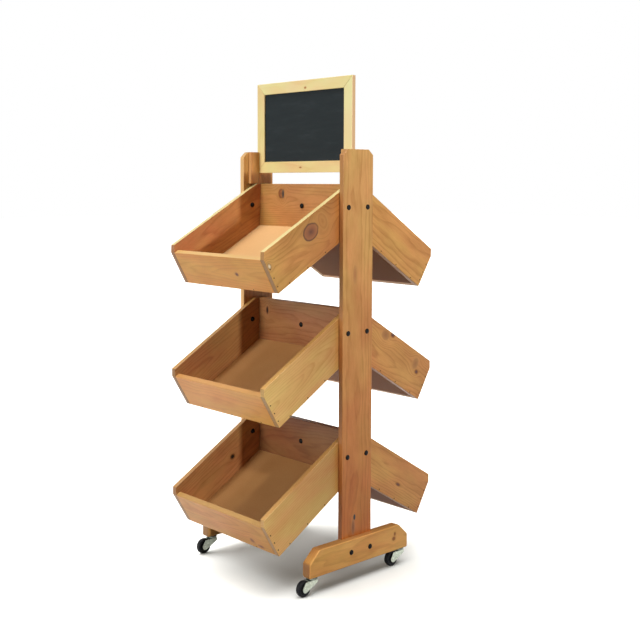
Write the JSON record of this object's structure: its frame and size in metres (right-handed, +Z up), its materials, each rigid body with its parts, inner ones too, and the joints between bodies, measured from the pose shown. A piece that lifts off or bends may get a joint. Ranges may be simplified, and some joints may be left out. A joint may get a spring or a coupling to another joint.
{
  "type": "produce display rack",
  "caption": "Two-sided rolling produce display rack: tilted wooden crates bolted back to back between two planks on caster feet, with a lift-out framed blackboard sign in slots at the top.",
  "frame": {"origin": "centre of the rack's outline on the floor, under the middle plane between the front and rear crates", "axes": "+Z up; +X from the left upright to the right upright; -Y towards the front crates, which carry the side that the sign faces"},
  "size_m": [0.548, 0.758, 1.6238],
  "materials": {
    "stained_wood": "honey stain under satin varnish, knotty softwood",
    "sign_wood": "clear varnish, pale yellow softwood",
    "floor_hardboard": "plain tan hardboard",
    "blackboard": "matt dark blackboard paint on hardboard",
    "zinc": "bright zinc plating",
    "wheel_rubber": "satin black"
  },
  "bodies": {
    "frame": {"upright_left": "stained_wood", "upright_right": "stained_wood", "foot_left": "stained_wood", "foot_right": "stained_wood", "cleat_left_front": "stained_wood", "cleat_left_rear": "stained_wood", "cleat_right_front": "stained_wood", "cleat_right_rear": "stained_wood", "sign_stop_left": "stained_wood", "sign_stop_right": "stained_wood", "crate_top_front_side_left": "stained_wood", "crate_top_front_side_right": "stained_wood", "crate_top_front_lip_board": "stained_wood", "crate_top_front_back_board": "stained_wood", "crate_top_front_floor_board": "floor_hardboard", "crate_top_rear_side_left": "stained_wood", "crate_top_rear_side_right": "stained_wood", "crate_top_rear_lip_board": "stained_wood", "crate_top_rear_back_board": "stained_wood", "crate_top_rear_floor_board": "floor_hardboard", "crate_middle_front_side_left": "stained_wood", "crate_middle_front_side_right": "stained_wood", "crate_middle_front_lip_board": "stained_wood", "crate_middle_front_back_board": "stained_wood", "crate_middle_front_floor_board": "floor_hardboard", "crate_middle_rear_side_left": "stained_wood", "crate_middle_rear_side_right": "stained_wood", "crate_middle_rear_lip_board": "stained_wood", "crate_middle_rear_back_board": "stained_wood", "crate_middle_rear_floor_board": "floor_hardboard", "crate_bottom_front_side_left": "stained_wood", "crate_bottom_front_side_right": "stained_wood", "crate_bottom_front_lip_board": "stained_wood", "crate_bottom_front_back_board": "stained_wood", "crate_bottom_front_floor_board": "floor_hardboard", "crate_bottom_rear_side_left": "stained_wood", "crate_bottom_rear_side_right": "stained_wood", "crate_bottom_rear_lip_board": "stained_wood", "crate_bottom_rear_back_board": "stained_wood", "crate_bottom_rear_floor_board": "floor_hardboard", "caster_front_left_mount": "zinc", "caster_front_right_mount": "zinc", "caster_rear_left_mount": "zinc", "caster_rear_right_mount": "zinc"},
    "sign": {"sign_rail_bottom": "sign_wood", "sign_rail_top": "sign_wood", "sign_stile_left": "sign_wood", "sign_stile_right": "sign_wood", "sign_blackboard": "blackboard"},
    "front_left_fork": {"caster_front_left_fork": "zinc"},
    "front_left_wheel": {"caster_front_left_wheel": "wheel_rubber"},
    "front_right_fork": {"caster_front_right_fork": "zinc"},
    "front_right_wheel": {"caster_front_right_wheel": "wheel_rubber"},
    "rear_left_fork": {"caster_rear_left_fork": "zinc"},
    "rear_left_wheel": {"caster_rear_left_wheel": "wheel_rubber"},
    "rear_right_fork": {"caster_rear_right_fork": "zinc"},
    "rear_right_wheel": {"caster_rear_right_wheel": "wheel_rubber"}
  },
  "joints": [
    {"name": "sign_lift", "type": "slide", "parent": "frame", "child": "sign", "axis": [0, 0, 1], "range_m": [0, 0.072]},
    {"name": "front_left_swivel", "type": "hinge", "parent": "frame", "child": "front_left_fork", "pos_m": [-0.255, -0.2005, 0.0474], "axis": [0, 0, 1], "continuous": true},
    {"name": "front_left_roll", "type": "hinge", "parent": "front_left_fork", "child": "front_left_wheel", "pos_m": [-0.255, -0.236, 0.026], "axis": [1, 0, 0], "continuous": true},
    {"name": "front_right_swivel", "type": "hinge", "parent": "frame", "child": "front_right_fork", "pos_m": [0.255, -0.2005, 0.0474], "axis": [0, 0, 1], "continuous": true},
    {"name": "front_right_roll", "type": "hinge", "parent": "front_right_fork", "child": "front_right_wheel", "pos_m": [0.255, -0.236, 0.026], "axis": [1, 0, 0], "continuous": true},
    {"name": "rear_left_swivel", "type": "hinge", "parent": "frame", "child": "rear_left_fork", "pos_m": [-0.255, 0.2005, 0.0474], "axis": [0, 0, 1], "continuous": true},
    {"name": "rear_left_roll", "type": "hinge", "parent": "rear_left_fork", "child": "rear_left_wheel", "pos_m": [-0.255, 0.165, 0.026], "axis": [1, 0, 0], "continuous": true},
    {"name": "rear_right_swivel", "type": "hinge", "parent": "frame", "child": "rear_right_fork", "pos_m": [0.255, 0.2005, 0.0474], "axis": [0, 0, 1], "continuous": true},
    {"name": "rear_right_roll", "type": "hinge", "parent": "rear_right_fork", "child": "rear_right_wheel", "pos_m": [0.255, 0.165, 0.026], "axis": [1, 0, 0], "continuous": true}
  ]
}
